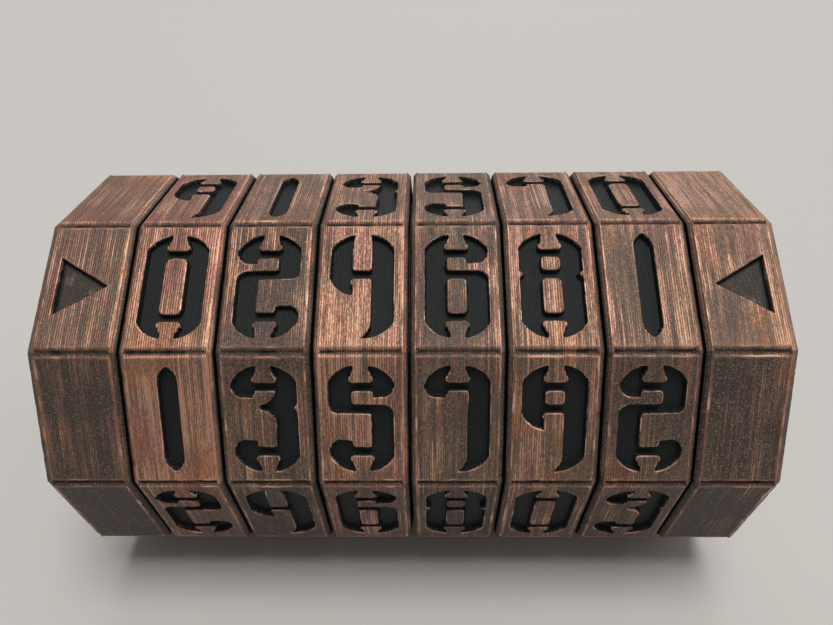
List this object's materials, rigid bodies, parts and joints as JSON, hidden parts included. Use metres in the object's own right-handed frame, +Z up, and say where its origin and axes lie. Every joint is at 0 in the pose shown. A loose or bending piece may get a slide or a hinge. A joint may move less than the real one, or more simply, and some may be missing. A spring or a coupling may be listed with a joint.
{
  "type": "cryptex",
  "caption": "Ten-sided combination puzzle vault: turning the digit dials to the code lines up their gates and frees a toothed vault that pulls out by one end cap.",
  "frame": {"origin": "centre of the bottom of the bounding box, under the middle of the row of dials", "axes": "+X along the row's axis from the base cap to the pull cap, +Z up, the marker row and its triangles face -Y and up"},
  "size_m": [0.0944, 0.0578, 0.055],
  "materials": {
    "cap_copper_rubbed": "black printed plastic rubbed with worn antique copper",
    "dial_copper_rubbed": "black printed plastic rubbed with worn antique copper",
    "ring_black_plastic": "bare black printed plastic",
    "core_black_plastic": "bare black printed plastic",
    "screw_steel": "black-oxide steel"
  },
  "bodies": {
    "base": {"base_cap": "cap_copper_rubbed", "base_screws": "screw_steel", "sleeve": "core_black_plastic", "retaining_collar": "core_black_plastic", "collar_screws": "screw_steel"},
    "vault": {"vault_tube": "core_black_plastic", "lock_comb": "core_black_plastic", "pull_cap": "cap_copper_rubbed"},
    "dial_1_unit": {"dial_1": "dial_copper_rubbed", "code_ring_1": "ring_black_plastic"},
    "dial_2_unit": {"dial_2": "dial_copper_rubbed", "code_ring_2": "ring_black_plastic"},
    "dial_3_unit": {"dial_3": "dial_copper_rubbed", "code_ring_3": "ring_black_plastic"},
    "dial_4_unit": {"dial_4": "dial_copper_rubbed", "code_ring_4": "ring_black_plastic"},
    "dial_5_unit": {"dial_5": "dial_copper_rubbed", "code_ring_5": "ring_black_plastic"},
    "dial_6_unit": {"dial_6": "dial_copper_rubbed", "code_ring_6": "ring_black_plastic"}
  },
  "joints": [
    {"name": "dial_1_turn", "type": "hinge", "parent": "base", "child": "dial_1_unit", "pos_m": [-0.03, 0, 0.0275], "axis": [1, 0, 0], "continuous": true},
    {"name": "dial_2_turn", "type": "hinge", "parent": "base", "child": "dial_2_unit", "pos_m": [-0.018, 0, 0.0275], "axis": [1, 0, 0], "continuous": true},
    {"name": "dial_3_turn", "type": "hinge", "parent": "base", "child": "dial_3_unit", "pos_m": [-0.006, 0, 0.0275], "axis": [1, 0, 0], "continuous": true},
    {"name": "dial_4_turn", "type": "hinge", "parent": "base", "child": "dial_4_unit", "pos_m": [0.006, 0, 0.0275], "axis": [1, 0, 0], "continuous": true},
    {"name": "dial_5_turn", "type": "hinge", "parent": "base", "child": "dial_5_unit", "pos_m": [0.018, 0, 0.0275], "axis": [1, 0, 0], "continuous": true},
    {"name": "dial_6_turn", "type": "hinge", "parent": "base", "child": "dial_6_unit", "pos_m": [0.03, 0, 0.0275], "axis": [1, 0, 0], "continuous": true},
    {"name": "vault_slide", "type": "slide", "parent": "base", "child": "vault", "axis": [1, 0, 0], "range_m": [0, 0.11]}
  ]
}
